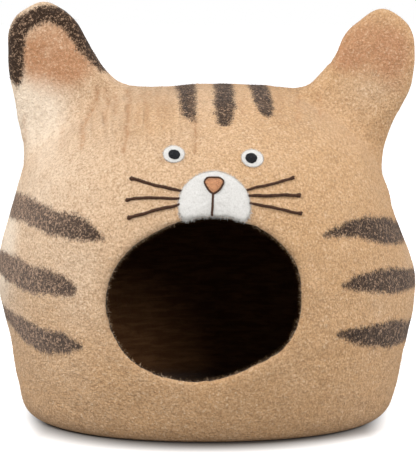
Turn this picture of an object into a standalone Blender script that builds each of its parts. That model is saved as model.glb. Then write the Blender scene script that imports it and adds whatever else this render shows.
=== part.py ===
"""A felt cat cave: one seamless shell of felted wool with a flat base, a round
way in and two hollow ears, and the small felt and yarn pieces of a cat's face.

Metres, +Z up. The way in faces -Y and the origin is on the floor, under the
middle of the cave. Tables of shape are in millimetres, seen from the front.
"""

import math

import bmesh
import bpy
import numpy as np

# Felt shell
WALL = 0.008
CENTRE_Z = 0.150  # height of the widest level
FRONT_DEPTH = 0.198  # from the widest section to the foremost point
BACK_DEPTH = 0.190  # from the widest section to the rearmost point
FOOT_SOFTNESS = 0.022  # how gently the side turns under into the base
SIDE_FADE = 0.105  # depth over which the dents in the outline smooth out
ROUNDNESS = 2.08  # 2 makes every level and upright section an ellipse
BASE_SQUARENESS = 0.3  # added to the roundness under the widest level

# Ears, pulled up out of the shell at its widest section
EAR_HALF_THICK = 0.022
EAR_FLARE = 2.7  # a higher flare makes a fuller ear
EAR_CUP = 0.012  # how far an ear's side edges stand in front of its middle
EAR_FULL_HEIGHT = 0.080
EAR_HOLLOW = 0.3  # share of the ear's reach that is hollow
EAR_HOLLOW_THICK = 0.6  # share of its thickness

COLUMNS = 108  # points in each ring of the shell
RIM_EVENNESS = 0.55  # how evenly they spread round the rim of the way in
EAR_RINGS = (0.004, 0.008, 0.012, 0.017, 0.022, 0.029)  # depths of rings
EAR_RINGS_INSIDE = (0.006, 0.012, 0.022)
FACE_RINGS, BACK_RINGS = 8, 9  # spread by even turns from there to rim or pole
FACE_RINGS_INSIDE, BACK_RINGS_INSIDE = 5, 7
FACE_TURN = math.radians(60)  # from the widest section to the rim, from inside

# Stations of the front outline, counterclockwise from the right side. base is
# the body without ears (the floor cuts off what is under zero), edge is the
# outline with ears, and across runs over an ear from -1 to 1.
OUTLINE = [
    # station, base_x, base_z, edge_x, edge_z, across
    ("right side", 204, 140, 204, 140, 0),
    ("right shoulder", 186, 192, 186, 192, 0),
    ("right waist", 172, 240, 172, 240, -1.0),
    ("right ear, outer root", 157, 266, 177, 271, -0.9),
    ("right ear, outer side", 146, 278, 201, 330, -0.6),
    ("right ear, outer top", 135, 289, 198, 384, -0.3),
    ("right ear, tip", 125, 297, 172, 400, 0.0),
    ("right ear, inner top", 113, 304, 143, 384, 0.35),
    ("right ear, inner side", 103, 308, 119, 346, 0.65),
    ("right ear, inner root", 90, 314, 101, 326, 0.9),
    ("crown, right", 50, 325, 50, 325, 0.3),
    ("crown", 0, 326, 0, 326, 0),
    ("crown, left", -42, 323, -42, 323, -0.3),
    ("left ear, inner root", -82, 316, -88, 327, -0.9),
    ("left ear, inner side", -103, 308, -114, 359, -0.65),
    ("left ear, inner top", -115, 302, -135, 393, -0.35),
    ("left ear, tip", -129, 295, -162, 407, 0.0),
    ("left ear, outer top", -141, 286, -190, 391, 0.3),
    ("left ear, outer side", -151, 279, -197, 347, 0.6),
    ("left ear, outer root", -164, 268, -189, 303, 0.9),
    ("left waist", -182, 247, -182, 247, 1.0),
    ("left shoulder", -197, 194, -197, 194, 0),
    ("left side", -207, 152, -207, 152, 0),
    ("left flank", -196, 68, -196, 68, 0),
    ("left foot", -178, -6, -178, -6, 0),
    ("left underside", -123, -68, -123, -68, 0),
    ("underside", 0, -98, 0, -98, 0),
    ("right underside", 122, -68, 122, -68, 0),
    ("right foot", 175, -6, 175, -6, 0),
    ("right flank", 194, 60, 194, 60, 0),
]

# The way in, a lopsided oval that reaches lower on its left.
MOUTH = [
    # x, z
    (87, 138),
    (81, 171),
    (51, 201),
    (4, 214),
    (-46, 202),
    (-83, 170),
    (-95, 128),
    (-76, 87),
    (-20, 63),
    (38, 75),
    (77, 102),
]

# Face. Each piece lies GAP off what it is fixed to.
GAP = 0.0003
FELT_THICK = 0.0014
PUPIL_THICK = 0.0012
MUZZLE_THICK = 0.0018
NOSE_THICK = 0.0012
NOSE_YARN = 0.0009  # radius, as on the next lines
MOUTH_YARN = 0.0008
ON_MUZZLE = GAP * 2 + MUZZLE_THICK
PATCH_EDGE = 0.3  # share of its thickness that a patch keeps at its edge
PATCH_SPREAD = 0.55  # under 1 draws a patch's rings out towards its edge
YARN_END = 0.6  # how thin a cut end of yarn is

# Eyes and pupils are round, and foreshortened by the slope of the forehead.
EYES = [
    # name, x, z, half_x, half_z, lean in degrees, underside
    ("eye_white_left", -31.7, 268.6, 9.6, 6.9, 0, GAP),
    ("eye_white_right", 41.0, 265.2, 9.8, 7.1, -8, GAP),
    ("pupil_left", -31.2, 267.7, 5.3, 3.8, -4, GAP * 2 + FELT_THICK),
    ("pupil_right", 39.9, 264.7, 5.2, 4.0, -8, GAP * 2 + FELT_THICK),
]
MUZZLE = [
    # x, z
    (6.0, 254.3),
    (-12.2, 249.3),
    (-24.1, 237.4),
    (-27.0, 224.5),
    (-25.2, 217.4),
    (-22.0, 213.2),
    (-10.1, 215.2),
    (4.0, 216.4),
    (20.0, 215.3),
    (34.4, 212.6),
    (37.6, 217.4),
    (38.7, 225.5),
    (35.9, 236.0),
    (25.6, 247.6),
]
NOSE_EDGE = [
    # x, z
    (14.0, 245.6),
    (5.6, 247.6),
    (-2.3, 246.2),
    (-0.8, 240.6),
    (4.7, 232.6),
    (12.0, 238.2),
]
MOUTH_LINE = [
    # x, z
    (4.5, 230.7),
    (4.1, 224.0),
    (3.3, 216.6),
]
WHISKERS = [
    # name, inner_x, inner_z, middle_x, middle_z, outer_x, outer_z, radius
    ("whisker_left_1", -26.3, 237.2, -48.8, 241.9, -71.6, 247.2, 1.15),
    ("whisker_left_2", -28.6, 230.1, -51.4, 230.7, -75.4, 228.4, 1.10),
    ("whisker_left_3", -28.8, 224.8, -51.3, 218.9, -73.4, 212.5, 1.20),
    ("whisker_right_1", 37.2, 238.3, 57.1, 242.5, 79.3, 247.4, 1.05),
    ("whisker_right_2", 39.4, 232.9, 60.7, 232.6, 84.9, 231.8, 1.20),
    ("whisker_right_3", 40.9, 226.3, 61.5, 221.6, 86.0, 215.6, 1.05),
]

COLOURS = {
    # name: colour (linear), roughness
    "tan_felt": ((0.60, 0.40, 0.24, 1), 0.95),
    "white_felt": ((0.82, 0.81, 0.78, 1), 0.95),
    "black_felt": ((0.012, 0.012, 0.014, 1), 0.9),
    "rust_thread": ((0.54, 0.24, 0.12, 1), 0.6),
    "brown_yarn": ((0.045, 0.020, 0.012, 1), 0.85),
}


# ---- Shapes from the tables


def closed_curve(stations, count, measure=slice(0, 2)):
    """count points, evenly spaced, on a smooth closed curve through stations.
    measure picks the columns that the spacing is measured in."""
    stations = np.asarray(stations, float)
    ahead = np.roll(stations, -1, 0) - stations
    step = np.linalg.norm(ahead[:, measure], axis=1)
    before = np.roll(step, 1)
    slope = ahead / step[:, None]
    behind = np.roll(slope, 1, 0)
    tangent = behind * step[:, None] + slope * before[:, None]
    tangent /= (before + step)[:, None]
    knots = np.concatenate([[0.0], np.cumsum(step)])
    at = np.arange(count) * knots[-1] / count
    k = np.searchsorted(knots, at, side="right") - 1
    nxt = (k + 1) % len(stations)
    t = ((at - knots[k]) / step[k])[:, None]
    h = step[k][:, None]
    return (
        (2 * t**3 - 3 * t**2 + 1) * stations[k]
        + (t**3 - 2 * t**2 + t) * tangent[k] * h
        + (3 * t**2 - 2 * t**3) * stations[nxt]
        + (t**3 - t**2) * tangent[nxt] * h
    )


def inset(xz, d):
    """The counterclockwise closed curve xz, moved inwards by d."""
    along = np.roll(xz, -1, 0) - np.roll(xz, 1, 0)
    along /= np.linalg.norm(along, axis=1)[:, None]
    return xz + d * np.stack([-along[:, 1], along[:, 0]], 1)


class Outline:
    """A closed curve as a radius for each direction from the cave's middle.
    Away from the widest section, at depth y, its dents smooth out."""

    SAMPLES = 720
    WAVES = 5

    def __init__(self, xz):
        angle = np.arctan2(xz[:, 1] - CENTRE_Z, xz[:, 0])
        order = np.argsort(angle)
        angle = angle[order]
        radius = np.hypot(xz[:, 0], xz[:, 1] - CENTRE_Z)[order]
        self.angle = np.concatenate([angle - 2 * math.pi, angle, angle + 2 * math.pi])
        self.sharp = np.concatenate([radius, radius, radius])
        self.even = np.linspace(-math.pi, math.pi, self.SAMPLES + 1)
        waves = np.fft.rfft(np.interp(self.even[:-1], self.angle, self.sharp))
        waves[self.WAVES :] = 0
        smooth = np.fft.irfft(waves, self.SAMPLES)
        self.smooth = np.append(smooth, smooth[0])

    def radius(self, angle, y=0.0):
        angle = (angle + math.pi) % (2 * math.pi) - math.pi
        sharp = np.interp(angle, self.angle, self.sharp)
        smooth = np.interp(angle, self.even, self.smooth)
        return smooth + (sharp - smooth) * np.exp(-((np.abs(y) / SIDE_FADE) ** 2))


STATIONS = np.array([row[1:] for row in OUTLINE], float) / (1000, 1000, 1000, 1000, 1)
EDGE = slice(2, 4)
fine = closed_curve(STATIONS, 1440, EDGE)[:, :2]
OUTER = Outline(fine)
INNER = Outline(inset(fine, WALL))
WAY_IN = Outline(closed_curve(np.array(MOUTH) / 1000, 720))

column = closed_curve(STATIONS, COLUMNS, EDGE)
BASE_ANGLE = np.unwrap(np.arctan2(column[:, 1] - CENTRE_Z, column[:, 0]))
EAR_REACH = column[:, 2:4] - column[:, :2]
EAR_ACROSS = column[:, 4]
even_angle = BASE_ANGLE[0] + np.arange(COLUMNS) * 2 * math.pi / COLUMNS
MOUTH_ANGLE = BASE_ANGLE + (even_angle - BASE_ANGLE) * RIM_EVENNESS


def power(angle):
    """The exponent of the section in this direction from the middle."""
    return ROUNDNESS + BASE_SQUARENESS * np.clip(-np.sin(angle), 0, 1) ** 2


def depth_at(share, depth, n):
    """How deep the shell is where it has shrunk to this share of its outline."""
    return depth * (1 - np.clip(share, 0, 1) ** n) ** (1 / n)


def share_at(y, depth, n):
    """The share of its outline that the shell has at this depth."""
    return (1 - np.clip(np.abs(y) / depth, 0, 1) ** n) ** (1 / n)


SETTLING_ROUNDS = 12


def face_depth(radius, angle, outline, depth):
    """How far in front of the widest section the shell is, radius from the
    middle. The outline depends on the depth, so this closes in on it."""
    n = power(angle)
    y = depth
    for _ in range(SETTLING_ROUNDS):
        y = depth_at(radius / outline.radius(angle, y), depth, n)
    return y


def press_flat(z, softness, floor):
    """z with what is under the floor pressed onto it, round a soft corner."""
    h = z - floor
    corner = (h + softness) ** 2 / (4 * softness)
    return floor + np.where(h > softness, h, np.where(h < -softness, 0.0, corner))


def front_point(xz, lift):
    """Points lift above the outer face of the head, at xz on the face."""
    step = 0.0005

    def y_at(x, z):
        angle = np.arctan2(z - CENTRE_Z, x)
        return -face_depth(np.hypot(x, z - CENTRE_Z), angle, OUTER, FRONT_DEPTH)

    x, z = np.asarray(xz, float).T
    slope_x = (y_at(x + step, z) - y_at(x - step, z)) / (2 * step)
    slope_z = (y_at(x, z + step) - y_at(x, z - step)) / (2 * step)
    normal = np.stack([slope_x, -np.ones_like(x), slope_z], 1)
    normal /= np.linalg.norm(normal, axis=1)[:, None]
    return np.stack([x, y_at(x, z), z], 1) + np.reshape(lift, (-1, 1)) * normal


# ---- Objects


def clear_scene():
    for old in list(bpy.data.objects):
        bpy.data.objects.remove(old, do_unlink=True)


def material(name):
    found = bpy.data.materials.get(name)
    if found:
        return found
    made = bpy.data.materials.new(name)
    made.use_nodes = True
    shader = made.node_tree.nodes["Principled BSDF"]
    colour, roughness = COLOURS[name]
    shader.inputs["Base Color"].default_value = colour
    shader.inputs["Roughness"].default_value = roughness
    shader.inputs["Metallic"].default_value = 0.0
    return made


def add_object(name, data, colour, location=(0, 0, 0), parent=None):
    node = bpy.data.objects.new(name, data)
    node.location = location
    node.parent = parent
    data.materials.append(material(colour))
    bpy.data.collections["felt_cat_cave"].objects.link(node)
    return node


def shell_ring(near, share, front, inside):
    """One ring of the shell, near plus a share of what lies beyond it deep:
    share 1 is the rim of the way in at the front, or the pole at the back."""
    outline = INNER if inside else OUTER
    depth = (FRONT_DEPTH if front else BACK_DEPTH) - (WALL if inside else 0)
    if front:
        rim = WAY_IN.radius(MOUTH_ANGLE) + WALL / 2
        end = face_depth(rim, MOUTH_ANGLE, outline, depth)
        y = near + (end - near) * share
        turn = 1 - share_at(y, depth, ROUNDNESS)
        turn /= 1 - share_at(end, depth, ROUNDNESS)
        angle = BASE_ANGLE + (MOUTH_ANGLE - BASE_ANGLE) * turn
    else:
        y = np.full(COLUMNS, near + (depth - near) * share)
        angle = BASE_ANGLE
    radius = share_at(y, depth, power(angle)) * outline.radius(angle, y)
    gain = EAR_HOLLOW if inside else 1.0
    half = EAR_HALF_THICK * (EAR_HOLLOW_THICK if inside else 1.0)
    rise = gain * np.exp(-((y / half) ** EAR_FLARE))
    x = radius * np.cos(angle) + EAR_REACH[:, 0] * rise
    z = CENTRE_Z + radius * np.sin(angle) + EAR_REACH[:, 1] * rise
    height = np.hypot(EAR_REACH[:, 0], EAR_REACH[:, 1]) * rise / EAR_FULL_HEIGHT
    y = (-y if front else y) - EAR_CUP * EAR_ACROSS**2 * height
    if inside:
        z = press_flat(z, FOOT_SOFTNESS - WALL / 2, WALL)
    else:
        z = press_flat(z, FOOT_SOFTNESS, 0.0)
    return np.stack([x, y, z], 1)


def rings_from_middle(front, inside):
    """The rings from next to the widest section to the rim or the pole."""
    close = EAR_RINGS_INSIDE if inside else EAR_RINGS
    if front:
        count = FACE_RINGS_INSIDE if inside else FACE_RINGS
        turns = [FACE_TURN * k / count for k in range(1, count + 1)]
        far = [math.sin(turn) / math.sin(FACE_TURN) for turn in turns]
    else:
        count = BACK_RINGS_INSIDE if inside else BACK_RINGS
        turns = [math.pi / 2 * k / (count + 1) for k in range(1, count + 1)]
        far = [math.sin(turn) for turn in turns]
    rings = [shell_ring(near, 0.0, front, inside) for near in close]
    return rings + [shell_ring(close[-1], share, front, inside) for share in far]


def lip_rings(outer, inner):
    """Rings that round the rim of the way in, from outer over to inner."""
    middle, arm = (outer + inner) / 2, (outer - inner) / 2
    along = np.roll(middle, -1, 0) - np.roll(middle, 1, 0)
    out = np.cross(arm, along)
    out /= np.linalg.norm(out, axis=1)[:, None]
    to_axis = np.array([0.0, 0.0, CENTRE_Z]) - middle * (1, 0, 1)
    out *= np.sign((out * to_axis).sum(1))[:, None]
    out *= np.linalg.norm(arm, axis=1)[:, None]
    turns = (math.radians(t) for t in (45, 90, 135))
    return [middle + arm * math.cos(t) + out * math.sin(t) for t in turns]


def add_shell():
    """A loft from the back pole over the outside to the way in, round its
    rim, and back over the inside to the inner pole."""
    rings = rings_from_middle(front=False, inside=False)[::-1]
    rings += [shell_ring(0.0, 0.0, True, False)]
    rings += rings_from_middle(front=True, inside=False)
    inside = [shell_ring(0.0, 0.0, True, True)]
    inside += rings_from_middle(front=True, inside=True)
    rings += lip_rings(rings[-1], inside[-1]) + inside[::-1]
    rings += rings_from_middle(front=False, inside=True)
    work = bmesh.new()
    loops = [[work.verts.new(p) for p in ring] for ring in rings]
    for a, b in zip(loops, loops[1:]):
        for j in range(COLUMNS):
            i = (j + 1) % COLUMNS
            work.faces.new((a[j], b[j], b[i], a[i]))
    outer_pole = work.verts.new((0, BACK_DEPTH, CENTRE_Z))
    inner_pole = work.verts.new((0, BACK_DEPTH - WALL, CENTRE_Z))
    for j in range(COLUMNS):
        i = (j + 1) % COLUMNS
        work.faces.new((outer_pole, loops[0][j], loops[0][i]))
        work.faces.new((inner_pole, loops[-1][i], loops[-1][j]))
    bmesh.ops.recalc_face_normals(work, faces=work.faces)
    mesh = bpy.data.meshes.new("body")
    work.to_mesh(mesh)
    work.free()
    mesh.shade_smooth()
    return add_object("body", mesh, "tan_felt")


def add_patch(name, outline, underside, thick, colour, parent, around=28):
    """A flat piece laid on the face of the head: a sphere whose equator is
    moved to the outline, and its two halves to the top and the underside."""
    edge = closed_curve(np.array(outline) / 1000, around)
    middle = edge.mean(0)
    work = bmesh.new()
    bmesh.ops.create_uvsphere(work, u_segments=around, v_segments=8, radius=1)
    places, lifts = [], []
    for v in work.verts:
        turn = math.atan2(v.co.y, v.co.x) % (2 * math.pi)
        j = round(turn * around / (2 * math.pi)) % around
        share = min(math.hypot(v.co.x, v.co.y), 1.0) ** PATCH_SPREAD
        top = 0.0
        if v.co.z > -0.01:
            top = PATCH_EDGE + (1 - PATCH_EDGE) * math.sqrt(max(v.co.z, 0))
        places.append(middle + (edge[j] - middle) * share)
        lifts.append(underside + thick * top)
    origin = front_point([middle], [0.0])[0]
    for v, point in zip(work.verts, front_point(places, lifts)):
        v.co = point - origin
    bmesh.ops.recalc_face_normals(work, faces=work.faces)
    mesh = bpy.data.meshes.new(name)
    work.to_mesh(mesh)
    work.free()
    mesh.shade_smooth()
    return add_object(name, mesh, colour, origin, parent)


def beyond(end, before, length):
    """The point length further on than end, coming from before."""
    along = end - before
    return end + along / np.linalg.norm(along) * length


def add_yarn(name, path, underside, radius, colour, parent, closed=False):
    """A length of yarn laid along a path on the face of the head."""
    points = front_point(np.array(path) / 1000, [underside + radius] * len(path))
    thickness = [1.0] * len(points)
    if not closed:
        first = beyond(points[0], points[1], radius / 2)
        last = beyond(points[-1], points[-2], radius / 2)
        points = [first, *points, last]
        thickness = [YARN_END, *thickness, YARN_END]
    curve = bpy.data.curves.new(name, "CURVE")
    curve.dimensions = "3D"
    curve.bevel_depth = radius
    curve.bevel_resolution = 2
    curve.use_fill_caps = True
    spline = curve.splines.new("POLY")
    spline.points.add(len(points) - 1)
    origin = points[0]
    for place, point, thick in zip(spline.points, points, thickness):
        place.co = (*(point - origin), 1)
        place.radius = thick
    spline.use_cyclic_u = closed
    return add_object(name, curve, colour, origin, parent)


def oval(x, z, half_x, half_z, lean):
    """Twelve points round an ellipse, turned by lean degrees."""
    a = math.radians(lean)
    turns = [2 * math.pi * k / 12 for k in range(12)]
    arms = [(half_x * math.cos(t), half_z * math.sin(t)) for t in turns]
    return [
        (x + u * math.cos(a) - v * math.sin(a), z + u * math.sin(a) + v * math.cos(a))
        for u, v in arms
    ]


def bowed_path(start, middle, end, count=10):
    """Points along the parabola through three places."""
    t = np.linspace(0, 1, count)[:, None]
    start, middle, end = (np.array(p) for p in (start, middle, end))
    leave, pass_by, arrive = (1 - t) * (1 - 2 * t), 4 * t * (1 - t), t * (2 * t - 1)
    return start * leave + middle * pass_by + end * arrive


def add_eyes(head):
    for name, x, z, half_x, half_z, lean, underside in EYES:
        pupil = name.startswith("pupil")
        thick = PUPIL_THICK if pupil else FELT_THICK
        colour = "black_felt" if pupil else "white_felt"
        rim = oval(x, z, half_x, half_z, lean)
        add_patch(name, rim, underside, thick, colour, head, around=20 if pupil else 28)


def add_muzzle(head):
    add_patch("muzzle", MUZZLE, GAP, MUZZLE_THICK, "white_felt", head, around=56)


def add_nose(head):
    """A pad of stitches with a dark yarn round it, and the mouth under it."""
    edge = closed_curve(NOSE_EDGE, 30)
    add_yarn("nose_edge", edge, ON_MUZZLE, NOSE_YARN, "brown_yarn", head, closed=True)
    pad = inset(edge, (NOSE_YARN + GAP) * 1000)
    add_patch("nose", pad, ON_MUZZLE, NOSE_THICK, "rust_thread", head, around=24)
    line = bowed_path(*MOUTH_LINE, count=6)
    add_yarn("mouth_line", line, ON_MUZZLE, MOUTH_YARN, "brown_yarn", head)


def add_whiskers(head):
    for name, x0, z0, x1, z1, x2, z2, radius in WHISKERS:
        path = bowed_path((x0, z0), (x1, z1), (x2, z2))
        add_yarn(name, path, GAP, radius / 1000, "brown_yarn", head)


clear_scene()
bpy.context.scene.collection.children.link(bpy.data.collections.new("felt_cat_cave"))
body = add_shell()
add_eyes(body)
add_muzzle(body)
add_nose(body)
add_whiskers(body)
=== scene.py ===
import math

import bpy
import numpy as np
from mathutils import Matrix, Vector, noise
from mathutils.bvhtree import BVHTree


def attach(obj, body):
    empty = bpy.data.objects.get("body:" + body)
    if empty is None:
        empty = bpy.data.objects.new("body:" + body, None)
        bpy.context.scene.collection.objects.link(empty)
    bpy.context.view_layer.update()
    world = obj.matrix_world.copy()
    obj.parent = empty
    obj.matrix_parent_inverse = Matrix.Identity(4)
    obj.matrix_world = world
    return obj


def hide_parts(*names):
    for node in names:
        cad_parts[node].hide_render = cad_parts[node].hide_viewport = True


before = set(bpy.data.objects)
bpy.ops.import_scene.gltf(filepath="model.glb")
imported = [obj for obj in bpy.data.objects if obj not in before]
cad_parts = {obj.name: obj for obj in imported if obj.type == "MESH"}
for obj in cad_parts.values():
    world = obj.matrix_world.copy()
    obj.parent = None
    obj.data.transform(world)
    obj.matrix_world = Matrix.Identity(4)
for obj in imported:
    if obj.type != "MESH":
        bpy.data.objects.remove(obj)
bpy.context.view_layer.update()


# ---- The felted shell
# The cave is one seamless piece: layers of carded wool laid over a form, wetted
# and rubbed until they shrink into a wall 8 mm thick. The ears are pulled up out
# of the same wool, and the way in is cut last and its rim rubbed round.

WALL = 0.008
CENTRE_Z = 0.150  # height of the widest level
FRONT_DEPTH = 0.198
BACK_DEPTH = 0.190
FOOT_SOFTNESS = 0.022
SIDE_FADE = 0.105
ROUNDNESS = 2.08
BASE_SQUARENESS = 0.3
EAR_HALF_THICK = 0.022
EAR_FLARE = 2.7
EAR_CUP = 0.012
EAR_FULL_HEIGHT = 0.080
EAR_HOLLOW = 0.3
EAR_HOLLOW_THICK = 0.6
COLUMNS = 400
OUTLINE_POINTS, WAY_IN_POINTS = 1440, 720
RIM_EVENNESS = 0.55
DEPTH_STEPS = 12
EAR_DEPTH = 0.029  # the ears' rings lie closer together down to this depth
EAR_RINGS, FACE_RINGS, BACK_RINGS = (24, 7), (36, 16), (42, 20)  # outside, inside
FACE_TURN = math.radians(60)
LIP_TURNS = (22, 45, 67, 90, 112, 135, 158)

# Stations of the front outline in mm, counterclockwise from the right side: the
# body without ears, the outline with ears, and where across an ear it lies.
OUTLINE = [
    # base_x, base_z, edge_x, edge_z, across
    (204, 140, 204, 140, 0),
    (186, 192, 186, 192, 0),
    (172, 240, 172, 240, -1.0),
    (157, 266, 177, 271, -0.9),
    (146, 278, 201, 330, -0.6),
    (135, 289, 198, 384, -0.3),
    (125, 297, 172, 400, 0.0),
    (113, 304, 143, 384, 0.35),
    (103, 308, 119, 346, 0.65),
    (90, 314, 101, 326, 0.9),
    (50, 325, 50, 325, 0.3),
    (0, 326, 0, 326, 0),
    (-42, 323, -42, 323, -0.3),
    (-82, 316, -88, 327, -0.9),
    (-103, 308, -114, 359, -0.65),
    (-115, 302, -135, 393, -0.35),
    (-129, 295, -162, 407, 0.0),
    (-141, 286, -190, 391, 0.3),
    (-151, 279, -197, 347, 0.6),
    (-164, 268, -189, 303, 0.9),
    (-182, 247, -182, 247, 1.0),
    (-197, 194, -197, 194, 0),
    (-207, 152, -207, 152, 0),
    (-196, 68, -196, 68, 0),
    (-178, -6, -178, -6, 0),
    (-123, -68, -123, -68, 0),
    (0, -98, 0, -98, 0),
    (122, -68, 122, -68, 0),
    (175, -6, 175, -6, 0),
    (194, 60, 194, 60, 0),
]
MOUTH = [
    # x, z in mm round the way in
    (87, 138), (81, 171), (51, 201), (4, 214), (-46, 202), (-83, 170),
    (-95, 128), (-76, 87), (-20, 63), (38, 75), (77, 102),
]


def closed_curve(stations, count, measure=slice(0, 2)):
    """count points, evenly spaced, on a smooth closed curve through stations."""
    stations = np.asarray(stations, float)
    ahead = np.roll(stations, -1, 0) - stations
    step = np.linalg.norm(ahead[:, measure], axis=1)
    before = np.roll(step, 1)
    slope = ahead / step[:, None]
    tangent = np.roll(slope, 1, 0) * step[:, None] + slope * before[:, None]
    tangent /= (before + step)[:, None]
    knots = np.concatenate([[0.0], np.cumsum(step)])
    at = np.arange(count) * knots[-1] / count
    k = np.searchsorted(knots, at, side="right") - 1
    nxt = (k + 1) % len(stations)
    t = ((at - knots[k]) / step[k])[:, None]
    h = step[k][:, None]
    return (
        (2 * t**3 - 3 * t**2 + 1) * stations[k]
        + (t**3 - 2 * t**2 + t) * tangent[k] * h
        + (3 * t**2 - 2 * t**3) * stations[nxt]
        + (t**3 - t**2) * tangent[nxt] * h
    )


def unit(v):
    return v / np.linalg.norm(v, axis=-1)[..., None]


def heading(loop):
    """At each point of a closed curve, from the point before to the one after."""
    return np.roll(loop, -1, 0) - np.roll(loop, 1, 0)


def inset(xz, d):
    """The counterclockwise closed curve xz, moved inwards by d."""
    along = unit(heading(xz))
    return xz + d * np.stack([-along[:, 1], along[:, 0]], 1)


class Outline:
    """A closed curve as a radius for each direction from the cave's middle.
    Away from the widest section, at depth y, its dents smooth out."""

    SAMPLES = 720
    WAVES = 5

    def __init__(self, xz):
        angle = np.arctan2(xz[:, 1] - CENTRE_Z, xz[:, 0])
        order = np.argsort(angle)
        angle = angle[order]
        radius = np.hypot(xz[:, 0], xz[:, 1] - CENTRE_Z)[order]
        self.angle = np.concatenate([angle - 2 * math.pi, angle, angle + 2 * math.pi])
        self.sharp = np.tile(radius, 3)
        self.even = np.linspace(-math.pi, math.pi, self.SAMPLES + 1)
        waves = np.fft.rfft(np.interp(self.even[:-1], self.angle, self.sharp))
        waves[self.WAVES :] = 0
        smooth = np.fft.irfft(waves, self.SAMPLES)
        self.smooth = np.append(smooth, smooth[0])

    def radius(self, angle, y=0.0):
        angle = (angle + math.pi) % (2 * math.pi) - math.pi
        sharp = np.interp(angle, self.angle, self.sharp)
        smooth = np.interp(angle, self.even, self.smooth)
        return smooth + (sharp - smooth) * np.exp(-((np.abs(y) / SIDE_FADE) ** 2))


stations = np.array(OUTLINE, float) / (1000, 1000, 1000, 1000, 1)
EDGE = slice(2, 4)
front_outline = closed_curve(stations, OUTLINE_POINTS, EDGE)
OUTER = Outline(front_outline[:, :2])
INNER = Outline(inset(front_outline[:, :2], WALL))
WAY_IN = Outline(closed_curve(np.array(MOUTH) / 1000, WAY_IN_POINTS))
column = closed_curve(stations, COLUMNS, EDGE)
BASE_ANGLE = np.unwrap(np.arctan2(column[:, 1] - CENTRE_Z, column[:, 0]))
EAR_REACH = column[:, 2:4] - column[:, :2]
EAR_ACROSS = column[:, 4]
even_angle = BASE_ANGLE[0] + np.arange(COLUMNS) * 2 * math.pi / COLUMNS
MOUTH_ANGLE = BASE_ANGLE + (even_angle - BASE_ANGLE) * RIM_EVENNESS


def power(angle):
    return ROUNDNESS + BASE_SQUARENESS * np.clip(-np.sin(angle), 0, 1) ** 2


def depth_at(share, depth, n):
    return depth * (1 - np.clip(share, 0, 1) ** n) ** (1 / n)


def share_at(y, depth, n):
    return (1 - np.clip(np.abs(y) / depth, 0, 1) ** n) ** (1 / n)


def face_depth(radius, angle, outline, depth):
    """How far in front of the widest section the shell is, radius from the
    middle. The outline depends on the depth, so this closes in on it."""
    n = power(angle)
    y = depth
    for _ in range(DEPTH_STEPS):
        y = depth_at(radius / outline.radius(angle, y), depth, n)
    return y


def press_flat(z, softness, floor):
    """z with what is under the floor pressed onto it, round a soft corner."""
    h = z - floor
    corner = (h + softness) ** 2 / (4 * softness)
    return floor + np.where(h > softness, h, np.where(h < -softness, 0.0, corner))


def shell_ring(near, share, front, inside):
    """One ring of the shell, at depth near plus a share of the depth beyond it."""
    outline = INNER if inside else OUTER
    depth = (FRONT_DEPTH if front else BACK_DEPTH) - (WALL if inside else 0)
    if front:
        rim = WAY_IN.radius(MOUTH_ANGLE) + WALL / 2
        end = face_depth(rim, MOUTH_ANGLE, outline, depth)
        y = near + (end - near) * share
        turn = 1 - share_at(y, depth, ROUNDNESS)
        turn /= 1 - share_at(end, depth, ROUNDNESS)
        angle = BASE_ANGLE + (MOUTH_ANGLE - BASE_ANGLE) * turn
    else:
        y = np.full(COLUMNS, near + (depth - near) * share)
        angle = BASE_ANGLE
    radius = share_at(y, depth, power(angle)) * outline.radius(angle, y)
    gain = EAR_HOLLOW if inside else 1.0
    half = EAR_HALF_THICK * (EAR_HOLLOW_THICK if inside else 1.0)
    rise = gain * np.exp(-((y / half) ** EAR_FLARE))
    x = radius * np.cos(angle) + EAR_REACH[:, 0] * rise
    z = CENTRE_Z + radius * np.sin(angle) + EAR_REACH[:, 1] * rise
    height = np.hypot(EAR_REACH[:, 0], EAR_REACH[:, 1]) * rise / EAR_FULL_HEIGHT
    y = (-y if front else y) - EAR_CUP * EAR_ACROSS**2 * height
    if inside:
        z = press_flat(z, FOOT_SOFTNESS - WALL / 2, WALL)
    else:
        z = press_flat(z, FOOT_SOFTNESS, 0.0)
    return np.stack([x, y, z], 1)


def rings_from_middle(front, inside):
    """The rings from next to the widest section to the rim or the pole."""
    count = EAR_RINGS[inside]
    close = [EAR_DEPTH * (k + 1) / count for k in range(count)]
    count = (FACE_RINGS if front else BACK_RINGS)[inside]
    if front:
        turns = [FACE_TURN * (k + 1) / count for k in range(count)]
        far = [math.sin(turn) / math.sin(FACE_TURN) for turn in turns]
    else:
        far = [math.sin(math.pi / 2 * (k + 1) / (count + 1)) for k in range(count)]
    rings = [shell_ring(near, 0.0, front, inside) for near in close]
    return rings + [shell_ring(close[-1], share, front, inside) for share in far]


def to_axis(points):
    """From each point to the line that runs through the cave's middle."""
    return np.array([0.0, 0.0, CENTRE_Z]) - points * (1, 0, 1)


def lip_rings(outer, inner):
    """Rings that round the rim of the way in, from outer over to inner."""
    middle, arm = (outer + inner) / 2, (outer - inner) / 2
    out = unit(np.cross(arm, heading(middle)))
    out *= np.sign((out * to_axis(middle)).sum(1))[:, None]
    out *= np.linalg.norm(arm, axis=1)[:, None]
    turns = [math.radians(t) for t in LIP_TURNS]
    return [middle + arm * math.cos(t) + out * math.sin(t) for t in turns]


def rolling_noise(points, size, seed=0.0):
    """Soft noise from -1 to 1 at each point, with lumps about size across."""
    shift = Vector((seed, seed * 2, seed * 3))
    return np.array([noise.noise(Vector(p) / size + shift) for p in points])


def ring_pairs(count):
    """Each point of a ring of count points, and the next one."""
    return [(i, (i + 1) % count) for i in range(count)]


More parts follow.
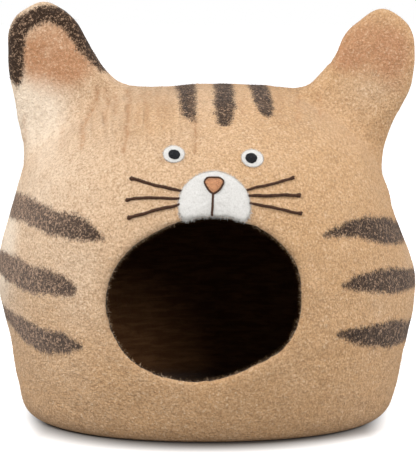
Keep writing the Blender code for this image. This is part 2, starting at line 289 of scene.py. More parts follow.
def new_mesh(name, points, faces):
    mesh = bpy.data.meshes.new(name)
    mesh.from_pydata(np.asarray(points).tolist(), [], faces)
    return mesh


def vertices(mesh, what):
    """Where each vertex is, for "co", or the way it faces, for "normal"."""
    values = np.zeros(len(mesh.vertices) * 3)
    mesh.vertices.foreach_get(what, values)
    return values.reshape(-1, 3)


outside = rings_from_middle(front=False, inside=False)[::-1]
outside += [shell_ring(0.0, 0.0, True, False)]
outside += rings_from_middle(front=True, inside=False)
inner = [shell_ring(0.0, 0.0, True, True)] + rings_from_middle(front=True, inside=True)
lip = lip_rings(outside[-1], inner[-1])
inner = inner[::-1] + rings_from_middle(front=False, inside=True)
rings = outside + lip + inner
poles = np.array([(0, BACK_DEPTH, CENTRE_Z), (0, BACK_DEPTH - WALL, CENTRE_Z)])
shell = np.concatenate(rings + [poles])
ring_of = np.repeat(np.arange(len(rings)), COLUMNS)
ring_of = np.concatenate([ring_of, [0, len(rings) - 1]])

pairs = ring_pairs(COLUMNS)
faces = []
for r in range(len(rings) - 1):
    a, b = r * COLUMNS, (r + 1) * COLUMNS
    faces += [(a + i, a + j, b + j, b + i) for i, j in pairs]
last = (len(rings) - 1) * COLUMNS
outer_pole, inner_pole = len(shell) - 2, len(shell) - 1
faces += [(j, i, outer_pole) for i, j in pairs]
faces += [(last + i, last + j, inner_pole) for i, j in pairs]
body_mesh = new_mesh("felt_shell", shell, faces)
normals = vertices(body_mesh, "normal")

# Hand rubbing leaves the wall gently lumpy, but for the base it stands on.
LUMPS = [(0.070, 0.0018), (0.030, 0.0012), (0.013, 0.0006)]  # size across, height
LUMP_SEED = 90
FLAT_TO, LUMPY_OVER = 0.006, 0.030  # flat so far up, then lumpier over so much
swell = sum(h * rolling_noise(shell, size, size * LUMP_SEED) for size, h in LUMPS)
swell *= np.clip((shell[:, 2] - FLAT_TO) / LUMPY_OVER, 0, 1)

# Where the crown and the ears were shrunk the most, the wool lies in creases,
# most of them upright. They dip into the shell, and painted shade darkens them.
CREASE_HALF_WIDTH = 0.0024
CREASE_DEPTH = 0.0027
CREASE_WANDER, WANDER_SIZE = 0.0028, 0.014
CREASED_ABOVE, CREASED_TO_Y = 0.24, 0.01
CREASES = [
    # how deep, then x, z of points along it in mm
    (1.0, (-108, 322), (-111, 306), (-120, 295), (-121, 273)),
    (1.0, (-78, 320), (-77, 310), (-77, 292), (-78, 270)),
    (0.7, (-99, 321), (-97, 309), (-99, 294)),
    (0.6, (-90, 316), (-89, 303)),
    (0.8, (-68, 315), (-66, 296)),
    (0.8, (-60, 318), (-59, 304), (-56, 289)),
    (0.7, (-50, 318), (-47, 300)),
    (0.6, (-40, 320), (-40, 302)),
    (0.9, (-12, 298), (-10, 288), (-13, 272)),
    (0.6, (34, 318), (33, 304)),
    (0.6, (70, 317), (68, 302)),
    (0.8, (89, 314), (86, 296)),
    (0.6, (107, 316), (110, 298)),
    (0.5, (-179, 294), (-182, 268)),
    (0.4, (-144, 294), (-140, 270)),
    (0.8, (121, 349), (132, 362), (138, 370)),
]


def beside(points, path):
    """How far each point lies from the path."""
    nearest = np.full(len(points), np.inf)
    for a, b in zip(path[:-1], path[1:]):
        share = ((points - a) @ (b - a) / ((b - a) @ (b - a))).clip(0, 1)
        off = points - a - share[:, None] * (b - a)
        nearest = np.minimum(nearest, np.linalg.norm(off, axis=1))
    return nearest


creased = np.zeros(len(shell))
wander = CREASE_WANDER * rolling_noise(shell, WANDER_SIZE, 8.0)
high_front = (shell[:, 1] < CREASED_TO_Y) & (shell[:, 2] > CREASED_ABOVE)
for deep, *path in CREASES:
    off = beside(shell[:, (0, 2)] + wander[:, None] * (1, 0), np.array(path) / 1000)
    dip = deep * np.exp(-((off / CREASE_HALF_WIDTH) ** 2))
    creased = np.maximum(creased, dip * high_front)
swell -= CREASE_DEPTH * creased
shell = shell + normals * swell[:, None]
body_mesh.vertices.foreach_set("co", shell.ravel())
body_mesh.shade_smooth()
body_mesh.update()


# ---- Bands of dark wool
# Tufts of dark brown wool were laid on the tan before felting: three bands on
# each flank, three over the crown and one round the left ear. Felting drew their
# edges out into hairs. Their tips taper off round the back.

FLANK_BANDS = [
    # Each row is degrees round from the front, height and half width in mm.
    [(-28, 191, -1), (-31, 195, 4), (-35, 199, 9), (-40, 202, 12), (-47, 203, 10.5), (-54, 207, 11.5),
     (-64, 211, 12), (-84, 210, 12.5), (-110, 207, 12), (-135, 205, 8), (-150, 204, -1)],
    [(-36, 144, 0), (-38, 144, 6), (-41, 146, 9), (-47, 148, 12), (-54, 147, 13), (-63, 152, 13.5),
     (-74, 154, 12), (-84, 155, 10), (-110, 155, 11), (-138, 153, 7), (-152, 152, -1)],
    [(-34, 91, 0), (-36, 91, 3), (-42, 92, 9.5), (-49, 91, 11.7), (-59, 96, 12),
     (-71, 103, 7.5), (-85, 105, 7), (-112, 103, 9), (-134, 101, 5), (-146, 100, -1)],
    [(32, 193, -1), (35, 195, 2.5), (43, 198, 6), (46, 198, 7.5), (53, 195, 11.5), (66, 189, 13),
     (77, 183, 10), (95, 179, 11), (122, 177, 9), (138, 176, 5), (148, 176, -1)],
    [(37, 147, -1), (39, 147, 2.5), (45, 148, 8), (53, 146, 10.5), (61, 143, 12.3), (80, 137, 9),
     (108, 134, 10), (132, 133, 6), (145, 133, -1)],
    [(35, 103, -1), (37, 102, 2.5), (42, 99, 6.5), (46, 97, 9), (53, 94, 10.8), (60, 93, 13),
     (75, 87, 10), (104, 84, 10), (128, 83, 6), (142, 83, -1)],
]
CROWN_BANDS = [
    # Each row is degrees up from level over the crown, x and half width in mm.
    [(51, -13, -1), (53, -14, 2), (57, -18, 7), (72, -20, 8.5), (88, -22, 10), (106, -23, 9),
     (124, -24, 5), (133, -24, -1)],
    [(49, 16, -1), (51, 16, 5), (55, 16, 8), (62, 16, 9.6), (90, 15, 9.2), (108, 14, 8.5),
     (126, 13, 5), (136, 13, -1)],
    [(54.5, 57, -1), (57, 55.5, 5), (61, 54, 8), (68, 52.5, 9), (92, 48.5, 8.8), (108, 46, 8),
     (124, 44, 4), (132, 43, -1)],
]
EAR_BAND = [
    # mm round the ear's edge from its tip (inwards is positive), and the two
    # distances in from the edge, in mm, that the band lies between
    (-114, 14, 0), (-106, 10, 6), (-98, 1, 13), (-86, -3, 16),
    (-64, -3, 17.5), (-44, 0, 19.5), (-26, 3, 21), (-10, 4, 21),
    (6, 3.5, 20), (16, 0, 17.5), (26, -5, 15), (50, -5, 12.5),
    (66, -5, 9.5), (80, -5, 7), (92, -5, 3.5), (102, -5, -5),
]
EAR_BAND_TO_Y = 4  # mm behind the widest section
NO_BAND = (25, -5)  # the two distances before the first row: nothing lies between
LEFT_EAR_TIP = (-0.162, 0.407)
EAR_TO_X, EAR_TO_Y, EAR_FROM_Z = -0.08, 0.012, 0.29  # the front of the left ear
CROWN_FROM_Z = 0.25
FAR_OFF = -30.0  # mm outside every band

at_x, at_y, at_z = shell.T
mm_x, mm_y, mm_z = (shell * 1000).T
round_turn = np.degrees(np.arctan2(at_x, -at_y))
over_turn = np.degrees(np.arctan2(at_z - CENTRE_Z, -at_y))


def inside_band(turn, across, rows):
    """How far inside a band each point is, in mm, and under zero outside it."""
    rows = np.array(sorted(rows), float)
    middle = np.interp(turn, rows[:, 0], rows[:, 1])
    half = np.interp(turn, rows[:, 0], rows[:, 2], left=FAR_OFF, right=FAR_OFF)
    return half - np.abs(across - middle)


on_flank = [inside_band(round_turn, mm_z, rows) for rows in FLANK_BANDS]
on_crown = [inside_band(over_turn, mm_x, rows) for rows in CROWN_BANDS]
on_crown = [np.where(at_z > CROWN_FROM_Z, band, FAR_OFF) for band in on_crown]

edge = front_outline[:, EDGE]
arc = np.cumsum(np.linalg.norm(edge - np.roll(edge, 1, 0), axis=1)) * 1000
tip = np.argmin(np.hypot(*(edge - LEFT_EAR_TIP).T))
arc = arc[tip] - arc  # the outline runs on past the tip to the ear's outer side
on_ear = np.full(len(shell), FAR_OFF)
ear_arc, ear_low, ear_high = np.array(EAR_BAND, float).T
near_ear = (at_x < EAR_TO_X) & (at_y < EAR_TO_Y) & (at_z > EAR_FROM_Z)
for v in np.nonzero(near_ear)[0]:
    gaps = np.hypot(*(edge - shell[v, [0, 2]]).T)
    nearest = np.argmin(gaps)
    low = np.interp(arc[nearest], ear_arc, ear_low, left=NO_BAND[0])
    high = np.interp(arc[nearest], ear_arc, ear_high, left=NO_BAND[1])
    gap = gaps[nearest] * 1000
    on_ear[v] = min(gap - low, high - gap, EAR_BAND_TO_Y - mm_y[v])

dark_wool = np.max(on_flank + on_crown + [on_ear], axis=0)


def soft_ovals(rows, full, fade=1.0):
    """The rows' ovals added up. Each is at full strength round its middle, and
    fades outwards, past its edge."""
    total = np.zeros(len(shell))
    for x, z, half_x, half_z, strength in rows:
        off = np.hypot((mm_x - x) / half_x, (mm_z - z) / half_z)
        total += strength * np.clip(full - fade * off, 0, 1)
    return total


# A thinner layer of rust wool lies in the middle of each ear.
EAR_TINTS = [
    # middle x, middle z, half width, half height in mm, how strong
    (-150, 357, 38, 38, 0.9),
    (-134, 342, 24, 15, 0.5),
    (-172, 352, 14, 22, 0.4),
    (158, 364, 44, 30, 0.9),
    (183, 348, 18, 32, 0.6),
    (134, 352, 16, 16, 0.5),
]
EAR_FRONT_OVER = 0.006  # the rust fades out over this depth, before the back
ear_tint = soft_ovals(EAR_TINTS, 1.6, 1.3)
ear_tint *= np.clip((EAR_FRONT_OVER - at_y) / EAR_FRONT_OVER, 0, 1)

# The inner layer is dark brown wool, and shows from a third of the way round the
# rim. past_rim is how far beyond that each point lies, in mm.
LIP_DARK_FROM = math.radians(60)
TAN_SIDE, DARK_SIDE = -20.0, 12.0
past_rim = np.full(len(shell), TAN_SIDE)
first_lip, first_inner = len(outside), len(outside) + len(lip)
past_rim[ring_of >= first_inner] = DARK_SIDE
for k, t in enumerate((0, *LIP_TURNS)):
    beyond = (math.radians(t) - LIP_DARK_FROM) * WALL / 2 * 1000
    past_rim[ring_of == first_lip - 1 + k] = beyond

# The wool gathered into upright puckers where the forehead was shrunk. Their
# folds dip into the relief, and painted shade darkens them.
PUCKERED = [
    # the same as in EAR_TINTS
    (-85, 304, 48, 30, 1.0),
    (-40, 300, 30, 26, 0.7),
    (88, 308, 34, 22, 0.6),
    (-176, 250, 20, 50, 0.35),
    (10, 296, 60, 24, 0.25),
]
puckered = soft_ovals(PUCKERED, 1.5)

# The wool is paler to the left and upwards, and it is palest at both edges of
# the outline and at the foot of the left ear. Part of this is the wool's own
# tone and part is painted light: the left and the top, where the key light
# falls, are painted lighter, the lower part darker, and both edges of the
# outline carry a painted sheen.
PALE_IN_MIDDLE, PALE_OVER = 0.28, 0.28
PALE_CLOUDS, PALE_CLOUD_SIZE = 0.25, 0.11
PALE_LOW, PALE_LOW_Z, PALE_LOW_OVER = 0.55, 0.12, 0.20
PATCH_TO_Y, PATCH_OVER = 0.05, 0.08
PALE_PATCHES = [
    # the same again; one of them is darker
    (-170, 307, 34, 44, 0.85),
    (167, 330, 30, 26, 0.30),
    (-50, 298, 26, 18, -0.25),
    (-120, 152, 24, 40, 0.20),
    (-150, 236, 40, 34, 0.08),
    (-206, 190, 20, 90, 1.0),
    (206, 190, 18, 90, 0.45),
]
# Painted light over the wool's own tone: lighter to the left, less pale low down.
paler_wool_and_painted_light = np.clip(PALE_IN_MIDDLE - at_x / PALE_OVER, 0, 1)
paler_wool_and_painted_light += PALE_CLOUDS * rolling_noise(shell, PALE_CLOUD_SIZE, 3.0)
paler_wool_and_painted_light *= np.clip(PALE_LOW + (at_z - PALE_LOW_Z) / PALE_LOW_OVER, 0.15, 1)
in_front = np.clip((PATCH_TO_Y - at_y) / PATCH_OVER, 0, 1)
paler_wool_and_painted_light += soft_ovals(PALE_PATCHES, 1.4) * in_front

# The bands on the flanks are thinner than those above, most of all on the left.
WORN_LEFT, WORN_RIGHT, WORN_OVER = 0.085, 0.120, 0.10
THIN_LEFT, THIN_RIGHT, THIN_LEAST = 1.0, 0.55, 0.12
THIN_BELOW, THIN_OVER = 0.275, 0.03
worn_from = np.where(at_x < 0, WORN_LEFT, WORN_RIGHT)
thin_band = np.clip((np.abs(at_x) - worn_from) / WORN_OVER, THIN_LEAST, 1)
thin_band *= np.where(at_x < 0, THIN_LEFT, THIN_RIGHT)
thin_band *= np.clip((THIN_BELOW - at_z) / THIN_OVER, 0, 1)

WOOL_MAPS = {
    "paler_wool_and_painted_light": np.clip(paler_wool_and_painted_light, 0, 1.6),
    "dark_wool": np.clip(dark_wool, FAR_OFF, 30),
    "ear_tint": np.clip(ear_tint, 0, 1),
    "past_rim": past_rim,
    "puckered": np.clip(puckered, 0, 1),
    "creased": creased,
    "thin_band": thin_band,
}


def give_maps(mesh, maps):
    for name, values in maps.items():
        made = mesh.attributes.new(name, "FLOAT", "POINT")
        made.data.foreach_set("value", np.asarray(values, np.float32))


give_maps(body_mesh, WOOL_MAPS)


# ---- The wool's finish
# Undyed wool is a mottle of pale and honey-coloured hairs, matted every which
# way, with a grain like orange peel and a dark hair here and there. The bands
# and the inside are the same wool dyed dark brown. Light is painted on it too:
# shade in the hollows of its fine relief, in its folds and in its creases, and
# paler tops on that relief, a lighter left side and top, and a pale sheen at
# the edges of the outline.

TAN = (0.670, 0.405, 0.205, 1)
TAN_PALE = (0.770, 0.565, 0.390, 1)
PALEST = (0.900, 0.750, 0.590, 1)
PALE_HAIR_AND_HIGHLIGHT = (0.930, 0.770, 0.570, 1)
DEEP_HAIR_AND_SHADE = (0.330, 0.180, 0.085, 1)
RUST_TINT = (0.580, 0.290, 0.150, 1)
BAND_DARK = (0.040, 0.022, 0.013, 1)
BAND_PALE = (0.440, 0.285, 0.185, 1)
BAND_THIN = (0.560, 0.430, 0.360, 1)
RIM_DARK = (0.018, 0.009, 0.005, 1)
INNER_DARK = (0.104, 0.042, 0.014, 1)
INNER_PALE = (0.190, 0.086, 0.033, 1)
CREASE_PAINTED_SHADE = (0.480, 0.240, 0.110, 1)
STRAY_HAIR = (0.090, 0.050, 0.028, 1)
CLOUDS, MOTTLE, GRAIN, FINE_GRAIN = 0.045, 0.0090, 0.0036, 0.0021  # metres across
PALE_HAIRS, FLECKS, TUFTS = 0.0026, 0.0036, 0.0023
COMBED, FOLDS = 0.0050, 0.0100


def add(tree, kind, inputs=None, **settings):
    """A shader node; each input is a number, a colour or another node's output."""
    made = tree.nodes.new("ShaderNode" + kind)
    for key, value in settings.items():
        setattr(made, key, value)
    for key, value in (inputs or {}).items():
        if isinstance(value, bpy.types.NodeSocket):
            tree.links.new(value, made.inputs[key])
        else:
            made.inputs[key].default_value = value
    return made


def mix(tree, share, a, b):
    made = add(tree, "Mix", {"Factor": share, 6: a, 7: b}, data_type="RGBA")
    return made.outputs[2]


def math_node(tree, operation, *values):
    inputs = dict(enumerate(values))
    return add(tree, "Math", inputs, operation=operation).outputs[0]


def times(tree, a, b):
    return math_node(tree, "MULTIPLY", a, b)


def plus(tree, start, *parts):
    """start, and each part's value times its weight."""
    for value, weight in parts:
        start = math_node(tree, "MULTIPLY_ADD", value, weight, start)
    return start


def ramp(tree, value, low, high):
    """0 below low, 1 above high, and smooth between them."""
    inputs = {"Value": value, "From Min": low, "From Max": high}
    made = add(tree, "MapRange", inputs, interpolation_type="SMOOTHSTEP")
    return made.outputs["Result"]


def wool_noise(tree, place, size, detail, roughness=0.6, twist=0.0, stretch=None):
    """Noise from 0 to 1, with lumps about size metres across."""
    if stretch:
        place = add(tree, "Mapping", {"Vector": place, "Scale": stretch}).outputs[0]
    inputs = {
        "Vector": place,
        "Scale": 1 / size,
        "Detail": detail,
        "Roughness": roughness,
        "Distortion": twist,
    }
    return add(tree, "TexNoise", inputs).outputs["Fac"]


def new_material(name, roughness, sheen):
    made = bpy.data.materials.new(name)
    made.use_nodes = True
    tree = made.node_tree
    shader = tree.nodes["Principled BSDF"]
    shader.inputs["Roughness"].default_value = roughness
    shader.inputs["Specular IOR Level"].default_value = 0.15
    shader.inputs["Sheen Weight"].default_value = sheen
    shader.inputs["Sheen Roughness"].default_value = 0.5
    place = add(tree, "TexCoord").outputs["Object"]
    return made, tree, shader, place


def set_look(tree, shader, colour, height):
    """height is of the surface's fine relief, in metres."""
    tree.links.new(colour, shader.inputs["Base Color"])
    relief = add(tree, "Bump", {"Height": height, "Distance": 1.0, "Strength": 1.0})
    tree.links.new(relief.outputs[0], shader.inputs["Normal"])


def map_value(tree, name):
    return add(tree, "Attribute", attribute_name=name).outputs["Fac"]


def wool_material():
    made, tree, shader, place = new_material("felted_wool", 0.95, 0.08)
    cloudy = wool_noise(tree, place, CLOUDS, 2.0)
    mottle = wool_noise(tree, place, MOTTLE, 3.0, 0.65)
    grain = wool_noise(tree, place, GRAIN, 3.0, 0.7, 0.8)
    fine = wool_noise(tree, place, FINE_GRAIN, 2.0, 0.7, 0.6)
    pale_hairs = wool_noise(tree, place, PALE_HAIRS, 2.0, 0.6, 2.5, stretch=(1.0, 0.5, 0.5))
    flecks = wool_noise(tree, place, FLECKS, 2.0, 0.5, 2.0)

    # Paler wool, and painted light: lighter on the lit left and top, with a painted sheen at both
    # edges of the outline.
    pale = plus(tree, map_value(tree, "paler_wool_and_painted_light"), (cloudy, 0.5))
    tan = mix(tree, ramp(tree, pale, 0.10, 1.25), TAN, TAN_PALE)
    palest = ramp(tree, pale, 1.05, 1.85)
    tan = mix(tree, palest, tan, PALEST)
    tint = times(tree, map_value(tree, "ear_tint"), ramp(tree, mottle, -0.10, 0.55))
    tan = mix(tree, tint, tan, RUST_TINT)
    tan = mix(tree, ramp(tree, mottle, 0.52, 0.98), tan, DEEP_HAIR_AND_SHADE)
    # Painted shade darkens the hollows of the fine relief, less where the edges are palest, and a
    # painted highlight lightens its tops.
    hollow = math_node(tree, "SUBTRACT", 1.0, ramp(tree, fine, 0.32, 0.58))
    shade = plus(tree, 0.56, (palest, -0.30))
    tan = mix(tree, times(tree, hollow, shade), tan, DEEP_HAIR_AND_SHADE)
    lit = times(tree, ramp(tree, fine, 0.52, 0.76), 0.52)
    tan = mix(tree, lit, tan, PALE_HAIR_AND_HIGHLIGHT)
    tan = mix(tree, ramp(tree, pale_hairs, 0.56, 0.98), tan, PALE_HAIR_AND_HIGHLIGHT)
    tan = mix(tree, ramp(tree, flecks, 0.760, 0.785), tan, STRAY_HAIR)

    thin = map_value(tree, "thin_band")
    tufts = wool_noise(tree, place, TUFTS, 2.0, 0.7, 0.8)
    speckle = plus(tree, tufts, (thin, 0.075), (grain, 0.40))
    band = mix(tree, ramp(tree, speckle, 0.70, 0.91), BAND_DARK, BAND_PALE)
    band = mix(tree, times(tree, thin, 0.16), band, BAND_THIN)
    ragged = plus(tree, map_value(tree, "dark_wool"), (mottle, 8.0), (pale_hairs, 13.0))
    colour = mix(tree, ramp(tree, ragged, 7.6, 13.0), tan, band)

    combed = wool_noise(tree, place, COMBED, 3.0, 0.6, 0.5, stretch=(0.2, 0.2, 1.0))
    dark = mix(tree, ramp(tree, combed, 0.35, 0.75), INNER_DARK, INNER_PALE)
    past = map_value(tree, "past_rim")
    dark = mix(tree, ramp(tree, past, 7.5, 11.5), RIM_DARK, dark)
    rim = plus(tree, past, (mottle, 4.0), (pale_hairs, 2.0))
    colour = mix(tree, ramp(tree, rim, 2.7, 3.4), colour, dark)

    # The puckers' folds: a dip in the relief, and painted shade in it.
    folds = wool_noise(tree, place, FOLDS, 1.0, 0.4, 0.2, stretch=(1.0, 0.14, 0.14))
    fold = math_node(tree, "ABSOLUTE", math_node(tree, "SUBTRACT", folds, 0.5))
    fold = math_node(tree, "SUBTRACT", 1.0, ramp(tree, fold, 0.0, 0.17))
    fold = times(tree, fold, map_value(tree, "puckered"))
    colour = mix(tree, times(tree, fold, 0.20), colour, DEEP_HAIR_AND_SHADE)
    # Painted shade darkens the creases.
    crease = times(tree, map_value(tree, "creased"), ramp(tree, grain, 0.35, 0.62))
    colour = mix(tree, times(tree, crease, 0.70), colour, CREASE_PAINTED_SHADE)

    height = times(tree, mottle, 0.0030)
    height = plus(tree, height, (grain, 0.0012), (fine, 0.0013), (pale_hairs, 0.0007), (fold, -0.0013))
    set_look(tree, shader, colour, height)
    return made


WOOL = wool_material()


def new_object(name, data):
    made = bpy.data.objects.new(name, data)
    bpy.context.scene.collection.objects.link(made)
    return made


def add_piece(mesh, finish, replaces=()):
    """A finished piece, named like its mesh, which rides on the part's one body."""
    piece = new_object(mesh.name, mesh)
    mesh.materials.clear()
    mesh.materials.append(finish)
    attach(piece, "root")
    if replaces:
        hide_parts(*replaces)
    return piece


add_piece(body_mesh, WOOL, ["body"])


# ---- Loose hairs of the wool
# Felt is never smooth: short hairs stand off it everywhere. They are longest
# round the rim of the way in, where the cut went through pale and dark wool
# alike, and where a few pale tufts curl in over the dark.

SHELL_HAIRS = (36000, 0.0036, 0.00013)  # how many, length and width
RIM_HAIRS = (1500, 0.0042, 0.00009)
RIM_TUFTS = (300, 0.0040, 0.00030)
HAIRLESS_TO, HAIRY_OVER = 0.004, 0.01  # next to the floor there are none
RIM_REACH = 3.0  # mm to each side of where the dark wool starts
MINGLED = 5.0  # mm that pale hairs stand in among the dark
UNDER_MUZZLE = (0.006, 0.034, 0.19)  # no rim hairs here: middle x, half width, lowest z
TUFT_PALENESS = 0.9
HAIR_POINTS = 5


def hairs_mesh(name, roots, directions, length, width, seed, bend=0.7):
    """Curved hairs, each a bent strip that ends in a point."""
    rng = np.random.default_rng(seed)
    count = len(roots)
    reach = (length * rng.uniform(0.45, 1.25, count))[:, None]
    first = unit(directions + 0.25 * rng.normal(size=(count, 3)))
    second = unit(first + bend * rng.normal(size=(count, 3)))
    side = unit(np.cross(first, rng.normal(size=(count, 3)))) * width / 2
    middle = roots + first * reach * 0.55
    tip = middle + second * reach * 0.45
    points = np.stack([roots - side, roots + side, middle - side * 0.8, middle + side * 0.8, tip], 1)
    start = np.arange(count)[:, None] * HAIR_POINTS
    faces = (start + (0, 1, 3, 2)).tolist() + (start + (2, 3, 4)).tolist()
    return new_mesh(name, points.reshape(-1, 3), faces)


def wool_hairs(name, places, ways, maps, length, width, seed, bend=0.7):
    """Hairs of the shell's own wool; maps gives each hair one value of each map."""
    mesh = hairs_mesh(name, places, ways, length, width, seed, bend)
    give_maps(mesh, {k: np.repeat(v, HAIR_POINTS) for k, v in maps.items()})
    add_piece(mesh, WOOL)


def maps_at(owner):
    return {k: v[owner] for k, v in WOOL_MAPS.items()}


quads = np.array([f for f in faces if len(f) == 4])


def scatter(weight, count, seed):
    """count places on the shell, denser where weight is higher: which vertex each
    is near, and the place itself."""
    rng = np.random.default_rng(seed)
    a, b, c = (shell[quads[:, k]] for k in (0, 1, 2))
    area = np.linalg.norm(np.cross(b - a, c - a), axis=1) * weight[quads].mean(1)
    chosen = quads[rng.choice(len(quads), count, p=area / area.sum())]
    share = rng.dirichlet((1, 1, 1, 1), count)
    return chosen[:, 0], (shell[chosen] * share[:, :, None]).sum(1)


outward = vertices(body_mesh, "normal")
is_outside = (ring_of < first_inner).astype(float)
off_floor = np.clip((at_z - HAIRLESS_TO) / HAIRY_OVER, 0, 1)
near_rim = np.exp(-((past_rim / RIM_REACH) ** 2)) * is_outside
middle, half, lowest = UNDER_MUZZLE
near_rim[(np.abs(at_x - middle) < half) & (at_z > lowest)] = 0

count, *size = SHELL_HAIRS
owner, places = scatter(is_outside * off_floor, count, 11)
rng = np.random.default_rng(12)
lying = unit(outward[owner] + 1.1 * rng.normal(size=(count, 3)))
facing = (lying * outward[owner]).sum(1)
lying -= outward[owner] * np.minimum(facing - 0.25, 0)[:, None]
wool_hairs("shell_hairs", places, lying, maps_at(owner), *size, 13)

count, *size = RIM_HAIRS
owner, places = scatter(near_rim, count, 21)
rng = np.random.default_rng(22)
lean = rng.uniform(0.0, 1.2, (count, 1))
wild = outward[owner] + lean * unit(to_axis(shell[owner])) + 0.5 * rng.normal(size=(count, 3))
mixed = maps_at(owner)
mixed["past_rim"] -= rng.uniform(0, MINGLED, count)
wool_hairs("rim_hairs", places, unit(wild), mixed, *size, 23)

count, *size = RIM_TUFTS
owner, places = scatter(near_rim, count, 24)
rng = np.random.default_rng(25)
curling = 0.6 * outward[owner] + unit(to_axis(shell[owner])) + 0.7 * rng.normal(size=(count, 3))
pale = maps_at(owner)
pale["past_rim"][:] = TAN_SIDE
pale["paler_wool_and_painted_light"][:] = TUFT_PALENESS
wool_hairs("rim_tufts", places, unit(curling), pale, *size, 26, bend=1.1)


# ---- Eyes
# Each eye is a round of white felt with a smaller round of black felt on it,
# needled down all over, so that their edges sink into the head.

GAP = 0.0003
OVAL_POINTS = 60
WHITE_THICK = 0.0016
PUPIL_THICK = 0.0016
EYES = [
    # name, x, z, half_x, half_z in mm, lean in degrees
    ("eye_white_left", -31.7, 268.6, 9.9, 7.2, 0),
    ("eye_white_right", 41.0, 265.2, 10.1, 7.4, -8),
]
PUPILS = [
    ("pupil_left", -31.2, 267.7, 5.5, 4.0, -4),
    ("pupil_right", 39.9, 264.7, 5.4, 4.2, -8),
]
EYE_HAIRS = (0.0006, 700, 0.0018, 0.00013)  # lift, how many, length and width
PUPIL_HAIRS = (WHITE_THICK + 0.0003, 260, 0.0009, 0.00008)
WHITE = (0.770, 0.752, 0.722, 1), (0.610, 0.590, 0.555, 1)  # hairs, then hollows
BLACK = (0.006, 0.006, 0.007, 1), (0.030, 0.030, 0.036, 1)

head = BVHTree.FromPolygons([Vector(p) for p in shell], faces)


def on_head(xz, lift=0.0):
    """The points lift above the front of the head, and the way it faces there."""
    lift = np.broadcast_to(lift, len(xz))
    points, ways = [], []
    for (x, z), up in zip(xz, lift):
        hit, way, _, _ = head.ray_cast(Vector((x, -0.5, z)), Vector((0, 1, 0)))
        points.append(hit + way * up)
        ways.append(way)
    return np.array(points), np.array(ways)


def oval(x, z, half_x, half_z, lean, wobble, seed):
    """Points round an ellipse, in metres, with an uneven hand-cut edge."""
    t = np.arange(OVAL_POINTS) * 2 * math.pi / OVAL_POINTS
    ring = np.stack([np.cos(t), np.sin(t), t * 0], 1)
    uneven = 1 + wobble * rolling_noise(ring, 0.45, seed)
    u, v = half_x * np.cos(t) * uneven, half_z * np.sin(t) * uneven
    a = math.radians(lean)
    around = np.stack([u * math.cos(a) - v * math.sin(a), u * math.sin(a) + v * math.cos(a)], 1)
    return (around + (x, z)) / 1000


def patch_mesh(name, outline, underside, thick, rings=12, bulge=0.35, rough=0.12):
    """A piece of felt laid on the head: full at its middle, thin at its edge."""
    middle = outline.mean(0)
    xz, lift = [middle], [underside + thick]
    for k in range(1, rings + 1):
        share = math.sin(math.pi / 2 * k / rings)
        rise = (1 - share**2) ** bulge if k < rings else 0.0
        xz += list(middle + (outline - middle) * share)
        lift += [underside + thick * rise] * len(outline)
    xz += list(middle + (outline - middle) * 0.6) + [middle]
    lift += [underside] * len(outline) + [underside]
    points, _ = on_head(np.array(xz), np.array(lift))
    n, end = len(outline), len(xz) - 1
    pairs = ring_pairs(n)
    faces = [(0, 1 + i, 1 + j) for i, j in pairs]
    for k in range(rings):
        a, b = 1 + k * n, 1 + (k + 1) * n
        faces += [(a + i, b + i, b + j, a + j) for i, j in pairs]
    faces += [(end - n + i, end, end - n + j) for i, j in pairs]
    mesh = new_mesh(name, points, faces)
    roughen(mesh, thick * rough)
    mesh.shade_smooth()
    return mesh


def roughen(mesh, height):
    """Bumps up to height on the side of the mesh that faces forward."""
    points, ways = vertices(mesh, "co"), vertices(mesh, "normal")
    bumps = rolling_noise(points, 0.0032) + 0.6 * rolling_noise(points, 0.0014, 5)
    out = ways[:, 1] < 0
    points += ways * (bumps * height * out)[:, None]
    mesh.vertices.foreach_set("co", points.ravel())
    mesh.update()


def plain_felt(name, colour, shade, roughness, sheen):
    """Wool of one colour, with another shade in the hollows between its hairs."""
    made, tree, shader, place = new_material(name, roughness, sheen)
    grain = wool_noise(tree, place, 0.0014, 3.0, 0.65, 1.5)
    hairs = wool_noise(tree, place, 0.0009, 2.0, 0.6, 4.0, stretch=(1.0, 1.0, 0.3))
    mixed = mix(tree, ramp(tree, grain, 0.30, 0.62), shade, colour)
    mixed = mix(tree, ramp(tree, hairs, 0.60, 0.80), mixed, shade)
    set_look(tree, shader, mixed, plus(tree, times(tree, grain, 0.0005), (hairs, 0.0003)))
    return made


WHITE_WOOL = plain_felt("white_felt", *WHITE, 0.95, 0.2)
BLACK_WOOL = plain_felt("black_felt", *BLACK, 0.85, 0.03)


def declare_patch(piece, outline):
    """Finds where the outline lies on the head, and keeps nothing of it."""
    points, _ = on_head(outline)


def edge_hairs(name, outline, lift, count, length, width, finish, slot, seed):
    """Hairs that cross the edge of a piece, combed outwards."""
    rng = np.random.default_rng(seed)
    pick = rng.integers(0, len(outline), count)
    share = rng.uniform(0, 1, (count, 1))
    nxt = outline[(pick + 1) % len(outline)]
    at = outline[pick] * (1 - share) + nxt * share
    middle = outline.mean(0)
    at = middle + (at - middle) * rng.uniform(0.93, 1.0, (count, 1))
    roots, ways = on_head(at, lift)
    far, _ = on_head(middle + (at - middle) * 1.05, lift)
    out = unit(far - roots)
    lean = unit(out + 0.35 * ways + 0.35 * rng.normal(size=(count, 3)))
    add_piece(hairs_mesh(name, roots, lean, length, width, seed + 1), finish)


